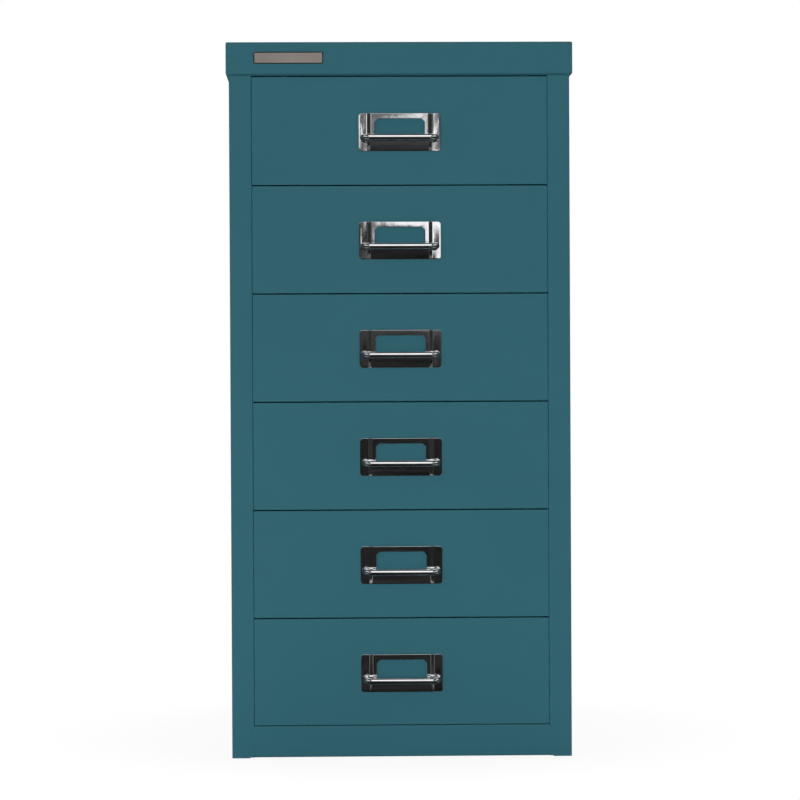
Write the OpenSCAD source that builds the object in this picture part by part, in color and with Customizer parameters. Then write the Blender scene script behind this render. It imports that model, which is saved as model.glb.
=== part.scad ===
// Desktop drawer cabinet in folded sheet steel: a welded case under a screwed cap lid,
// with six flat drawers that slide in channel runners. The front faces -Y and the feet
// stand on Z = 0. The origin is the middle of the footprint, with the pulls counted in.

/* [Case] */
// Width over the side panels
case_w = 280; // [220:1:400]
// Depth from the stile faces to the rear face
case_d = 374; // [300:1:600]
// Sheet thickness of the case
case_t = 1; // [0.7:0.1:1.5]
// Inside radius of the folds in the case sheet
case_fold = 0.4; // [0.3:0.1:2]
// Width of each front stile
stile_w = 18.5; // [17:0.5:35]
// Depth of the fold that runs back from a stile along the opening
stile_return = 15; // [8:0.5:25]
// Width of the folds that hold the back panel
rear_return = 15; // [8:0.5:30]
// Height of the rail under the drawers
rail_h = 24.8; // [15:0.1:60]
// Width of the mitred ends of the rail, which are let into the stiles
rail_tab = 3.5; // [1:0.5:8]
// Step from the lower ends of the stiles up to the lower edge of the rail
rail_lift = 0.6; // [0:0.1:3]
// Depth of the folded ledge on top of the rail
rail_ledge = 15; // [6:0.5:25]
// Height of the weld flanges on the floor of the case
floor_flange = 15; // [6:0.5:20]

/* [Lid] */
// Height of the lid
lid_h = 27.5; // [18:0.1:50]
// How far the lid stands out past the case all round
lid_over = 2.5; // [1.5:0.1:8]
// Radius of the four upright corners of the lid
lid_corner = 2.5; // [1.5:0.1:8]
// Radius of the long top edges of the lid
lid_edge = 1.6; // [1.2:0.1:4]
// Gap between the lid flange and the upper drawer front
lid_gap = 1.6; // [1.5:0.1:4]
// Depth of the screwed flange under the front of the lid
lid_flange = 13; // [11:0.5:20]
// Thread diameter of the lid screws
screw_d = 3; // [2:0.1:4]
// Clearance around the lid screws and beside the lid flange
screw_play = 0.1; // [0.05:0.05:0.3]
// Head diameter of the lid screws
screw_head_d = 5; // [4:0.1:7]
// Head height of the lid screws
screw_head_h = 1.2; // [0.6:0.1:1.3]
// Length of the lid screws under the head
screw_l = 6; // [4:0.5:12]
// Distance of the left lid screw from the side of the opening
screw_in_left = 27.4; // [10:0.1:60]
// Distance of the right lid screw from the side of the opening
screw_in_right = 18; // [10:0.1:60]
// Distance of the lid screws behind the stile faces
screw_in_back = 4; // [4:0.1:8]

/* [Drawer fronts] */
// Number of drawers
drawers = 6; // [2:1:8]
// Height from one drawer to the next
drawer_pitch = 89; // [60:0.5:160]
// Gap between two drawer fronts, and under the lowest
drawer_gap = 1.1; // [0.6:0.1:4]
// Gap between a drawer front and the stiles
side_gap = 0.4; // [0.4:0.1:3]
// Sheet thickness of the drawers
drawer_t = 0.8; // [0.6:0.1:1.2]
// Inside radius of the folds in the drawer sheet
drawer_fold = 0.3; // [0.2:0.1:1.5]
// Depth of the hollow drawer front
front_d = 12.8; // [8:0.1:15]
// Width of the folded lip behind the drawer front
front_lip = 8; // [4:0.5:14]

/* [Drawer trays] */
// Height of the tray floor above the lower edge of the drawer front
tray_lift = 4; // [2:0.5:12]
// Distance of the tray flanges below the upper edge of the drawer front
tray_drop = 9.4; // [8:0.1:20]
// Distance of the tray flanges from the sides of the opening
tray_side_room = 2; // [1:0.1:5]
// Width of the flanges that carry the tray
tray_flange = 10; // [9:0.1:16]
// Height of the lip turned down from each flange
tray_lip = 8; // [6.5:0.1:14]
// Depth of the flange behind the back wall of the tray
tray_back_flange = 8; // [4:0.5:12]
// Clear space between a closed tray and the back panel
tray_rear_room = 9.5; // [5:0.5:40]
// Width of the beads pressed up in the tray floor
bead_w = 7; // [4:0.5:12]
// Height of the beads
bead_h = 1.5; // [1:0.1:3]
// Distance between the middles of two beads
bead_pitch = 65; // [40:1:80]
// Distance of the ends of the beads from the ends of the tray
bead_in_end = 24; // [5:1:80]

/* [Runners] */
// Gap between the tray lip and the runner that it slides on
runner_play = 0.3; // [0.2:0.05:1]
// Gap between the tray flange and the upper leg of the runner
runner_head_play = 0.6; // [0.3:0.05:1.5]
// Gap between the tray wall and the lower leg of the runner
runner_side_play = 1.5; // [0.5:0.1:3]
// Distance from the stile fold to the front end of the runners
runner_set_back = 2; // [0.5:0.1:10]
// Height of the stop tabs on the runners
stop_h = 5; // [3:0.1:5.5]
// Gap left at each stop when the drawer reaches it
stop_play = 0.5; // [0.3:0.05:1]
// Length of the tray that stays in the runners when the drawer is fully out
tray_hold = 56; // [30:1:120]

/* [Label frames] */
// Width of the label frame
frame_w = 67.4; // [60:0.1:90]
// Height of the label frame
frame_h = 31; // [28:0.5:45]
// Sheet thickness of the label frame
frame_t = 0.8; // [0.6:0.1:1.2]
// Corner radius of the label frame
frame_corner = 2.5; // [1:0.1:4]
// Distance of the frame's middle below the middle of the drawer front
frame_drop = 1; // [-5:0.5:5]
// Width of the two flat ears
ear_w = 6.8; // [6.8:0.1:12]
// Width of the slopes between the ears and the raised middle
slope_w = 2.8; // [1:0.1:5]
// Depth of the card pocket
card_d = 1.2; // [0.6:0.1:2]
// Width of the rims beside the window
window_side = 2.6; // [1.5:0.1:8]
// Height of the window
window_h = 17; // [10:0.5:20]
// Width of the rim above the window
window_rim = 4; // [2:0.1:6]
// Cut across the upper corners of the window
window_cut = 2.6; // [0.5:0.1:5]

/* [Pulls] */
// Diameter of the pull rod
rod_d = 5.2; // [4:0.1:5.2]
// Distance from the drawer front to the middle of the rod
pull_reach = 16; // [14:0.5:30]
// How far the rod hangs below the feet
pull_drop = 1.1; // [0:0.1:4]
// Bend radius at the middle of the rod
pull_bend = 6; // [5:0.5:10]
// Distance of the feet from the sides of the label frame
pull_in_side = 4.1; // [3.8:0.1:4.1]
// Distance of the feet below the upper edge of the label frame
pull_below_edge = 19.6; // [12:0.1:22]
// Diameter of the collar at each foot
collar_d = 5.4; // [5.3:0.1:5.4]
// Height of the collar at each foot
collar_h = 0.8; // [0.6:0.1:1.5]
// Diameter of the tenon that passes through the drawer front
tenon_d = 4; // [2.5:0.1:4.5]
// Clearance around the tenon
tenon_play = 0.1; // [0.05:0.05:0.3]
// Diameter of the riveted end behind the drawer front
rivet_d = 6.5; // [5:0.1:9]
// Thickness of the riveted end
rivet_h = 1.4; // [0.8:0.1:3]

/* [Feet] */
// Diameter of the feet
foot_d = 22; // [12:1:35]
// Height of the stile ends above the ground
foot_rise = 1.5; // [1:0.1:10]
// Chamfer around the sole of each foot
foot_chamfer = 0.5; // [0.2:0.1:0.8]
// Distance of the feet from the sides of the case
foot_in_side = 25; // [19:1:60]
// Distance of the feet from the front fold and from the back panel
foot_in_end = 18; // [18:1:80]

/* [Hidden] */
$fn = 64;
paint = "#32626D";
chrome = "#C9CCCE";
rubber = "#1E1E1F";

function per_drawer(name) = [for (i = [1 : drawers]) str(name, "_", i)];

// Depth positions. The pulls stand out furthest in front and the lid behind.
pull_out = pull_reach + rod_d / 2;
face_y = (pull_out - case_d - lid_over) / 2;
rear_y = face_y + case_d;
back_y = rear_y - 2 * case_t;
tray_front_y = face_y + front_d;
tray_rear_y = back_y - tray_rear_room - tray_back_flange;
floor_y = face_y + stile_return + case_t;
runner_front_y = face_y + stile_return + runner_set_back;
runner_rear_y = tray_rear_y + stop_play + case_t;
lug_y = tray_rear_y - tray_hold;

// Width positions, measured from the middle
case_half = case_w / 2;
open_half = case_half - stile_w;
front_half = open_half - side_gap;
flange_half = open_half - tray_side_room;
tray_half = flange_half - tray_flange;
foot_x = case_half - foot_in_side;
ear_half = frame_w / 2 - ear_w;
card_half = ear_half - slope_w;
window_half = card_half - window_side;
pull_span = frame_w - 2 * pull_in_side;
tenon_hole_d = tenon_d + 2 * tenon_play;
screw_hole_d = screw_d + 2 * screw_play;

// Heights
rail_z = foot_rise + rail_lift;
rail_top = rail_z + rail_h;
open_top = rail_top + drawers * drawer_pitch + lid_gap;
lid_top = open_top + lid_h;
// The mitre of the rail starts where its upper fold ends
mitre_z = rail_top - case_t - case_fold;
case_top = lid_top - 2 * case_t;
front_h = drawer_pitch - drawer_gap;
function front_z(i) = rail_top + drawer_gap + (drawers - i) * drawer_pitch;
function flange_z(i) = front_z(i) + front_h - tray_drop;
function frame_z(i) = front_z(i) + (front_h - frame_h) / 2 - frame_drop;

// The pull's slope, from its feet on the label frame out to the rod. The length is
// rounded, so that the bends and the straight stretches meet on exact faces.
pull_run = pull_reach - frame_t;
pull_arm = round(norm([pull_run, pull_drop]) * 100) / 100;
pull_slope = atan2(pull_drop, pull_run);

// Turns an outline that is drawn in X and Z into a solid along Y
module along_y(from, to) translate([0, to, 0]) rotate([90, 0, 0]) linear_extrude(to - from) children();

// Turns an outline that is drawn in Y and Z into a solid along X
module along_x(from, to) translate([from, 0, 0]) rotate([90, 0, 90]) linear_extrude(to - from) children();

module mirror_to(side) mirror([side < 0 ? 1 : 0, 0, 0]) children();

// Section of a folded sheet: its middle line turns only through right angles
module folded_strip(path, t, inside) {
    last = len(path) - 1;
    middle = inside + t / 2;
    outside = inside + t;
    function heading(i) = (path[i + 1] - path[i]) / norm(path[i + 1] - path[i]);
    for (i = [0 : last - 1]) {
        h = heading(i);
        start = path[i] + h * (i == 0 ? 0 : middle);
        end = path[i + 1] - h * (i == last - 1 ? 0 : middle);
        side = [abs(h[1]), abs(h[0])] * t / 2;
        low = [min(start[0], end[0]), min(start[1], end[1])];
        high = [max(start[0], end[0]), max(start[1], end[1])];
        translate(low - side) square(high - low + 2 * side);
    }
    for (i = [1 : last - 1]) {
        corner = heading(i - 1) - heading(i);
        translate(path[i] - corner * middle) intersection() {
            difference() {
                circle(outside);
                circle(inside);
            }
            translate([min(corner[0], 0), min(corner[1], 0)] * outside) square(outside);
        }
    }
}

// Rectangle with round corners, from one corner to the opposite one
module round_rect(low, high, r) {
    translate([low[0] + r, low[1]]) square([high[0] - low[0] - 2 * r, high[1] - low[1]]);
    translate([low[0], low[1] + r]) square([high[0] - low[0], high[1] - low[1] - 2 * r]);
    for (x = [low[0] + r, high[0] - r], y = [low[1] + r, high[1] - r])
        translate([x, y]) circle(r);
}

// Rectangle whose two upper corners are round
module round_top(low, high, r) {
    translate(low) square([high[0] - low[0], high[1] - low[1] - r]);
    translate([low[0] + r, low[1]]) square([high[0] - low[0] - 2 * r, high[1] - low[1]]);
    for (x = [low[0] + r, high[0] - r])
        translate([x, high[1] - r]) circle(r);
}

// ---- case ----

// Side wall with its front stile, the fold along the opening and the rear return. The
// lower end of the stile is notched for the mitred end of the rail.
module side_panel(side) {
    t = case_t / 2;
    color(paint) mirror_to(side) difference() {
        translate([0, 0, foot_rise]) linear_extrude(case_top - foot_rise) folded_strip([
            [open_half + t, face_y + stile_return],
            [open_half + t, face_y + t],
            [case_half - t, face_y + t],
            [case_half - t, rear_y - t],
            [case_half - rear_return, rear_y - t]
        ], case_t, case_fold);
        along_y(face_y - case_t, floor_y) rail_end(open_half - case_t, foot_rise - case_t);
    }
}

// Outline of the rail's mitred end, from a given width and height inside it
module rail_end(from_x, from_z) polygon([
    [from_x, from_z],
    [open_half + rail_tab, from_z],
    [open_half + rail_tab, mitre_z - rail_tab],
    [open_half, mitre_z],
    [from_x, mitre_z]
]);

// Flat sheet held in front of the rear returns
module back_panel() {
    half = case_half - case_t - case_fold;
    color(paint) translate([-half, back_y, rail_z]) cube([2 * half, case_t, case_top - rail_z]);
}

// Floor of the case, with the front rail, its ledge and two weld flanges
module base_panel() {
    t = case_t / 2;
    floor_z = rail_z + t;
    wall = case_half - case_t - t;
    color(paint) {
        along_x(-open_half, open_half) folded_strip([
            [face_y + rail_ledge, rail_top - t],
            [face_y + t, rail_top - t],
            [face_y + t, floor_z],
            [back_y, floor_z]
        ], case_t, case_fold);
        for (side = [-1, 1]) mirror_to(side) along_y(face_y, face_y + case_t) rail_end(open_half, rail_z);
        along_y(floor_y, back_y) folded_strip([
            [-wall, rail_z + floor_flange],
            [-wall, floor_z],
            [wall, floor_z],
            [wall, rail_z + floor_flange]
        ], case_t, case_fold);
    }
}

// Sheet under the lid, with the top rail and the ledge that the lid is screwed to
module top_panel() {
    t = case_t / 2;
    sheet_z = case_top + t;
    ledge_z = open_top + case_t + t;
    color(paint) difference() {
        union() {
            along_x(-open_half, open_half) folded_strip([
                [face_y + lid_flange, ledge_z],
                [face_y + t, ledge_z],
                [face_y + t, sheet_z],
                [rear_y, sheet_z]
            ], case_t, case_fold);
            translate([-case_half, face_y + case_t + case_fold, case_top])
                cube([case_w, case_d - case_t - case_fold, case_t]);
        }
        lid_screw_places() cylinder(h = 3 * case_t, d = screw_hole_d);
    }
}

module lid_screw_places() {
    for (x = [screw_in_left - open_half, open_half - screw_in_right])
        translate([x, face_y + screw_in_back, open_top]) children();
}

// The lid's solid outline, drawn in by a distance on every side but the bottom
module lid_block(inset) {
    half = case_half + lid_over - inset;
    front = face_y - lid_over + inset;
    rear = rear_y + lid_over - inset;
    top = lid_top - inset;
    low = open_top - lid_over;
    // The lower edge runs in at 45 degrees to meet the case
    shoulder = open_top + lid_over + inset * (1 - sqrt(2));
    intersection() {
        along_x(-half, half) round_top([front, low], [rear, top], lid_edge - inset);
        along_y(front, rear) round_top([-half, low], [half, top], lid_edge - inset);
        translate([0, 0, low]) linear_extrude(top - low)
            round_rect([-half, front], [half, rear], lid_corner - inset);
        along_x(-half, half) polygon([
            [front, top], [rear, top], [rear, shoulder],
            [rear - (shoulder - low), low], [front + (shoulder - low), low], [front, shoulder]
        ]);
        along_y(front, rear) polygon([
            [-half, top], [half, top], [half, shoulder],
            [half - (shoulder - low), low], [(shoulder - low) - half, low], [-half, shoulder]
        ]);
    }
}

// Cap lid with a chamfered lower edge and a screwed flange over the drawers
module lid() {
    below = lid_over + case_t;
    flange_half = open_half - screw_play;
    color(paint) difference() {
        union() {
            difference() {
                lid_block(0);
                lid_block(case_t);
                translate([-case_half, face_y, open_top - below])
                    cube([case_w, case_d, lid_top - case_t - open_top + below]);
                translate([-case_w, -case_d, open_top - 2 * below])
                    cube([2 * case_w, 2 * case_d, 2 * below]);
            }
            translate([-flange_half, face_y - case_t, open_top])
                cube([2 * flange_half, lid_flange + case_t, case_t]);
        }
        lid_screw_places() translate([0, 0, -case_t]) cylinder(h = 3 * case_t, d = screw_hole_d);
    }
}

// Two domed screws, driven up through the lid flange into the top rail
module lid_screws() {
    half = screw_head_d / 2;
    dome = (half * half + screw_head_h * screw_head_h) / (2 * screw_head_h);
    color(paint) lid_screw_places() rotate_extrude() {
        square([screw_d / 2, screw_l]);
        intersection() {
            translate([0, dome - screw_head_h]) circle(dome);
            translate([0, -screw_head_h]) square([half, screw_head_h]);
        }
    }
}

module foot(x, y) {
    r = foot_d / 2;
    color(rubber) translate([x, y, 0]) rotate_extrude()
        polygon([[0, 0], [r - foot_chamfer, 0], [r, foot_chamfer], [r, rail_z], [0, rail_z]]);
}

// ---- runners ----

// Channel welded to the side wall: the tray lip slides on its lower leg, and the
// upper leg keeps the drawer from tipping. A tab at each end stops the drawer.
module runner(i, side) {
    t = case_t / 2;
    web = case_half - case_t - t;
    low_z = flange_z(i) - tray_lip - runner_play - t;
    high_z = flange_z(i) + runner_head_play + t;
    low_x = tray_half + runner_side_play;
    tab_x = low_x + runner_side_play;
    tab_w = flange_half - drawer_t - runner_side_play / 2 - tab_x;
    color(paint) mirror_to(side) {
        along_y(runner_front_y, runner_rear_y) folded_strip([
            [low_x, low_z], [web, low_z], [web, high_z], [tab_x, high_z]
        ], case_t, case_fold);
        translate([tab_x, runner_front_y, low_z]) cube([tab_w, case_t, stop_h + t]);
        translate([tab_x, runner_rear_y - case_t, low_z]) cube([flange_half - tab_x, case_t, stop_h + t]);
    }
}

// ---- drawers ----

// Folded tray with its carrying flanges, back wall, front wall and two stop lugs
module tray(i) {
    t = drawer_t / 2;
    floor_z = front_z(i) + tray_lift + t;
    top_z = flange_z(i) - t;
    lip_z = flange_z(i) - tray_lip;
    wall = tray_half - t;
    lip = flange_half - t;
    wall_half = front_half - front_lip / 2;
    wall_low = front_z(i) + min(tray_lift, front_lip / 2);
    wall_high = front_z(i) + front_h - front_lip / 2;
    color(paint) {
        difference() {
            union() {
                along_y(tray_front_y, tray_rear_y) folded_strip([
                    [-lip, lip_z], [-lip, top_z], [-wall, top_z], [-wall, floor_z],
                    [wall, floor_z], [wall, top_z], [lip, top_z], [lip, lip_z]
                ], drawer_t, drawer_fold);
                intersection() {
                    floor_beads(floor_z + t, 0);
                    translate([-wall, tray_front_y, floor_z]) cube([2 * wall, case_d, bead_h + drawer_t]);
                }
            }
            floor_beads(floor_z + t, drawer_t);
        }
        along_x(-wall, wall) folded_strip([
            [tray_rear_y + tray_back_flange, top_z],
            [tray_rear_y - t, top_z],
            [tray_rear_y - t, floor_z + drawer_fold]
        ], drawer_t, drawer_fold);
        // The foot of the back wall follows the round of the tray's lower folds
        along_y(tray_rear_y - drawer_t, tray_rear_y) round_rect(
            [-tray_half, floor_z - t],
            [tray_half, top_z - 2 * drawer_fold - drawer_t], drawer_fold + drawer_t);
        translate([-wall_half, tray_front_y, wall_low])
            cube([2 * wall_half, drawer_t, wall_high - wall_low]);
        for (side = [-1, 1]) mirror_to(side) stop_lug(top_z, lip_z);
    }
}

// Three long round-ended forms that rise above a tray floor, drawn in by the sheet's
// thickness for their hollow underside
module floor_beads(floor_top, inset) {
    r = (bead_w * bead_w / 4 + bead_h * bead_h) / (2 * bead_h);
    from = tray_front_y + bead_in_end + bead_w / 2;
    to = tray_rear_y - bead_in_end - bead_w / 2;
    for (x = [-bead_pitch, 0, bead_pitch]) translate([x, 0, floor_top + bead_h - r]) {
        translate([0, to, 0]) rotate([90, 0, 0]) cylinder(h = to - from, r = r - inset);
        for (y = [from, to]) translate([0, y, 0]) sphere(r - inset);
    }
}

// Lug that meets the runner's front tab when the drawer is fully out
module stop_lug(top_z, lip_z) {
    from = tray_half + 2 * runner_side_play;
    to = flange_half - drawer_t / 2;
    translate([from, lug_y, lip_z + runner_head_play])
        cube([to - from, drawer_t, top_z - lip_z - runner_head_play]);
}

// The drawer front's solid outline, drawn in by a distance on every side but the rear
module front_block(i, inset, depth) {
    half = front_half - inset;
    low = front_z(i) + inset;
    high = front_z(i) + front_h - inset;
    r = drawer_fold + drawer_t - inset;
    near = face_y + inset;
    intersection() {
        along_x(-half, half) round_rect([near, low], [face_y + depth + 2 * r, high], r);
        translate([0, 0, low]) linear_extrude(high - low)
            round_rect([-half, near], [half, face_y + depth + 2 * r], r);
        along_y(near, face_y + depth) round_rect([-half, low], [half, high], r);
    }
}

// Hollow front: a pan folded from one sheet, with a lip behind that the tray is welded to
module drawer_front(i) {
    lip = front_lip + drawer_t;
    color(paint) difference() {
        front_block(i, 0, front_d);
        front_block(i, drawer_t, front_d - drawer_t);
        along_y(face_y + front_d / 2, face_y + 2 * front_d) round_rect(
            [lip - front_half, front_z(i) + lip],
            [front_half - lip, front_z(i) + front_h - lip], drawer_fold);
        pull_feet(i) translate([0, 0, -2 * drawer_t]) cylinder(h = 3 * drawer_t, d = tenon_hole_d);
    }
}

// How far the back of the label frame stands off the drawer, from 0 at the ears, up a
// smooth slope, to the depth of the card pocket
function stand_off(x) = card_d * (1 - cos(180 * min(1, max(0, (ear_half - abs(x)) / slope_w)))) / 2;

// Stamped frame: two flat ears and a raised middle that leaves a pocket for a card
module label_frame(i) {
    half = frame_w / 2;
    steps = 8;
    slope = [for (k = [0 : steps]) ear_half - slope_w * k / steps];
    across = concat([-half], -slope, [for (k = [steps : -1 : 0]) slope[k]], [half]);
    back = [for (x = across) [x, -stand_off(x)]];
    face = [for (k = [len(back) - 1 : -1 : 0]) back[k] - [0, frame_t]];
    near = face_y - card_d - 2 * frame_t;
    far = face_y + frame_t;
    z = frame_z(i);
    window_top = z + frame_h - window_rim;
    window_low = window_top - window_h;
    color(chrome) difference() {
        intersection() {
            translate([0, face_y, z]) linear_extrude(frame_h) polygon(concat(back, face));
            along_y(near, far) round_rect([-half, z], [half, z + frame_h], frame_corner);
        }
        along_y(near, far) polygon([
            [-window_half, window_low], [window_half, window_low],
            [window_half, window_top - window_cut], [window_half - window_cut, window_top],
            [window_cut - window_half, window_top], [-window_half, window_top - window_cut]
        ]);
        pull_feet(i) translate([0, 0, -frame_t]) cylinder(h = 3 * frame_t, d = tenon_hole_d);
    }
}

// The two foot places on the drawer face, with +Z pointing out of the drawer
module pull_feet(i) {
    for (x = [-pull_span / 2, pull_span / 2])
        translate([x, face_y, frame_z(i) + frame_h - pull_below_edge]) rotate([90, 0, 0]) children();
}

// Bent rod with a collar, a tenon and a riveted end at each foot
module pull(i) {
    half = pull_span / 2;
    rod_start = collar_h / 2;
    color(chrome) {
        translate([0, face_y - frame_t, frame_z(i) + frame_h - pull_below_edge]) rotate([pull_slope, 0, 0]) {
            for (side = [-1, 1]) mirror_to(side) {
                translate([half, -rod_start, 0]) rotate([90, 0, 0])
                    cylinder(h = pull_arm - pull_bend - rod_start, d = rod_d);
                translate([half - pull_bend, pull_bend - pull_arm, 0]) rotate([0, 0, -90])
                    rotate_extrude(angle = 90) translate([pull_bend, 0]) circle(d = rod_d);
            }
            translate([pull_bend - half, -pull_arm, 0]) rotate([0, 90, 0])
                cylinder(h = pull_span - 2 * pull_bend, d = rod_d);
        }
        pull_feet(i) {
            translate([0, 0, frame_t]) cylinder(h = collar_h, d = collar_d);
            translate([0, 0, -drawer_t - rivet_h / 2])
                cylinder(h = drawer_t + frame_t + (rivet_h + collar_h) / 2, d = tenon_d);
            translate([0, 0, -drawer_t - rivet_h]) cylinder(h = rivet_h, d = rivet_d);
        }
    }
}

side_panel(-1);  // side_panel_left
side_panel(1);  // side_panel_right
back_panel();
base_panel();
top_panel();
lid();
lid_screws();
foot(-foot_x, floor_y + foot_in_end);  // foot_front_left
foot(foot_x, floor_y + foot_in_end);  // foot_front_right
foot(-foot_x, back_y - foot_in_end);  // foot_rear_left
foot(foot_x, back_y - foot_in_end);  // foot_rear_right
for (i = [1 : drawers]) {
    runner(i, -1);
    runner(i, 1);
    tray(i);
    drawer_front(i);
    label_frame(i);
    pull(i);
}
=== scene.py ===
"""Looks of a desktop drawer cabinet: powder-coated folded steel with chromed label frames and pulls.

Every visible piece is built here as a finished mesh round the fixed frame, in metres. The
front faces -Y, the feet stand on Z = 0, and each drawer's pieces ride on that drawer's body.
"""

import math

import bmesh
import bpy
from mathutils import Matrix, Vector


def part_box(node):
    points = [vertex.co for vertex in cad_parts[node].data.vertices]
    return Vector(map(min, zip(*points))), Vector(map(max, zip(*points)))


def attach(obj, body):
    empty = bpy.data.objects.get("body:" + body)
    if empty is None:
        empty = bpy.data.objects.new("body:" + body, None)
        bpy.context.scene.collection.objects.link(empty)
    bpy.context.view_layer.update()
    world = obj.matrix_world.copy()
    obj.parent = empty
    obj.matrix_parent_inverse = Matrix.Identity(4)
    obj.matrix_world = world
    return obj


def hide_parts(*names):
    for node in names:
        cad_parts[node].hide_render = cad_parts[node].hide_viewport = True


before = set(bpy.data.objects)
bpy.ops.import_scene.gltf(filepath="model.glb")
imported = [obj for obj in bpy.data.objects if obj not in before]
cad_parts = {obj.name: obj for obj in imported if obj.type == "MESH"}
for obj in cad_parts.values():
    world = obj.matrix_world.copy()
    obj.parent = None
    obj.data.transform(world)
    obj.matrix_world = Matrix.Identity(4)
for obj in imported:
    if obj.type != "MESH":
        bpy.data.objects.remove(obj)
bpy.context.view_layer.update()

MM = 0.001
DRAWERS = range(1, 7)
SIDES = (-1, 1)
WORDS = {-1: "left", 1: "right"}

# Sheet steel: thickness, inside radius of the folds, softness of a cut edge. The corners that
# line the gaps are pressed tighter than the other folds.
CASE_SHEET = 1.0 * MM
CASE_FOLD = 0.4 * MM
STILE_FOLD = 0.05 * MM
DRAWER_SHEET = 0.8 * MM
DRAWER_FOLD = 0.3 * MM
FRONT_EDGE = 0.5 * MM
FRONT_FOLD = 0.05 * MM
CUT_EDGE = 0.14 * MM
FOLD_STEPS = 6
SHARP_TURN = math.radians(40)
MERGE_REACH = 0.002 * MM
SAME = 1e-6
TINY = 1e-7

# Places that the pieces share, read from the frame
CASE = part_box("side_panel_right")
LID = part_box("lid")
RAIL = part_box("base_panel")
REAR_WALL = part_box("back_panel")
CASE_HALF = CASE[1].x
OPEN_HALF = CASE[0].x
FACE_Y = CASE[0].y
REAR_Y = CASE[1].y
CASE_LOW = CASE[0].z
CASE_TOP = CASE[1].z
RAIL_LOW = RAIL[0].z
OPEN_TOP = LID[0].z

# The visible sheets close the drawn gaps a little
RAIL_GAIN = 1.1 * MM
RAIL_TOP = RAIL[1].z + RAIL_GAIN
FRONT_GAIN_X = 0.33 * MM
FRONT_GAIN_Z = 0.1 * MM
FIRST_GAIN = 0.75 * MM
LAST_LIFT = 0.4 * MM

# Folds of the case
STILE_RETURN = 15 * MM
REAR_RETURN = 15 * MM
RAIL_LEDGE = 15 * MM
RAIL_TAB = 3.5 * MM
MITRE_DROP = 0.3 * MM
MITRE_Z = RAIL_TOP - MITRE_DROP
MITRE_SEAM = 0.3 * MM
FLOOR_FLANGE = 15 * MM
FLOOR_Y = FACE_Y + STILE_RETURN + CASE_SHEET

# Lid and its two screws, whose sizes are in millimetres
LID_FLANGE = 13 * MM
LID_PLAY = 0.1 * MM
LID_CORNER = 2.0 * MM
LID_EDGE = 1.1 * MM
LID_SKIRT = 1.7 * MM
SCREW_IN_LEFT = 27.4 * MM
SCREW_IN_RIGHT = 18 * MM
SCREW_BACK = 3.15 * MM
SCREW_XS = (SCREW_IN_LEFT - OPEN_HALF, OPEN_HALF - SCREW_IN_RIGHT)
SCREW_Y = FACE_Y + SCREW_BACK
SCREW_HOLE_R = 1.6 * MM
SCREW_SIZES = {
    "Head_diameter": 6.2, "Head_height": 0.78, "Dome_height": 0.12, "Recess_width": 0.6, "Recess_depth": 0.5,
    "Thread_diameter": 3.0, "Thread_length": 6.2}

# Round feet
GLIDE_CHAMFER = 0.5 * MM
GLIDE_HOLLOW = 0.15 * MM
GLIDE_SOFT = 0.1 * MM
GLIDE_SOLE = (0.6, 0.8)

# Blank plate on the lid. Each section is a share of the rim's width and of the plate's thickness.
BADGE_PLACE = (-91 * MM, 577 * MM)
BADGE_HALF = (28.5 * MM, 4.8 * MM)
BADGE_RIM_W = 0.7 * MM
BADGE_THICK = 0.9 * MM
BADGE_CORNER = 1.1 * MM
BADGE_CORNER_LOSS = 0.7
BADGE_EDGE = 0.05 * MM
RIM_SECTIONS = ((0, 0), (0, 0.75), (0.2, 1), (0.8, 1), (1, 0.8), (1, 0))
FACE_SECTIONS = ((0, 0), (0, 0.7), (0.25, 0.78))

# Spot welds
WELD_D = 4.6 * MM
WELD_H = 0.18 * MM
REAR_WELDS = 9
REAR_WELD_IN_END = 40 * MM
TRAY_WELDS_ACROSS = (-0.93, -0.5, 0, 0.5, 0.93)

# Trays and runners
TRAY_LIP = 8 * MM
TRAY_FLANGE = 10 * MM
TRAY_DROP = 9.4 * MM
TRAY_LIFT = 4 * MM
TRAY_BACK_FLANGE = 8 * MM
TRAY_HOLD = 56 * MM
RUNNER_PLAY = 1.5 * MM
LIP_PLAY = 0.6 * MM
STOP_H = 5 * MM
BEAD_XS = (-65 * MM, 0, 65 * MM)
BEAD_W = 7 * MM
BEAD_H = 1.5 * MM
BEAD_IN_END = 24 * MM
BEAD_STEPS = 6
BEAD_SPREAD = 1.15
FRONT_LIP = 8 * MM

# Label frames. The ears are crowned, and the part under the window leans and rolls back.
FRAME_SHEET = 0.8 * MM
CARD_DEPTH = 1.2 * MM
FRAME_CORNER = 2.5 * MM
EAR_W = 6.8 * MM
SLOPE_W = 3.4 * MM
SIDE_RIM = 2.9 * MM
TOP_RIM = 4.4 * MM
WINDOW_H = 16.6 * MM
WINDOW_CUT = 2.6 * MM
EAR_CROWN = 0.018 * MM
LOWER_LEAN = 0.45 * MM
LOWER_ROLL = 0.15 * MM
SLOPE_EASE = 0.15
FRAME_EDGE = 0.3 * MM
CORNER_STEPS = 8
EAR_CUTS = 6
SLOPE_CUTS = 12
LOWER_CUTS = 8

# Pulls. Each section of the riveted end is a share of its radius and of its height.
PULL_IN_SIDE = 4.1 * MM
PULL_BELOW_EDGE = 19.6 * MM
TENON_R = 2 * MM
TENON_HOLE_R = 2.1 * MM
TENON_HOLE_STEPS = 24
ROD_D = 5.2 * MM
PULL_DROP = 1.1 * MM
PULL_BEND = 6 * MM
COLLAR_R = 2.7 * MM
COLLAR_H = 0.8 * MM
COLLAR_SOFT = 0.3 * MM
RIVET_R = 3.25 * MM
RIVET_H = 1.4 * MM
RIVET_SECTIONS = ((1, 0), (1, 0.4), (0.8, 0.85), (0, 1))
PULL_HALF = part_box("label_frame_1")[1].x - PULL_IN_SIDE

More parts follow.
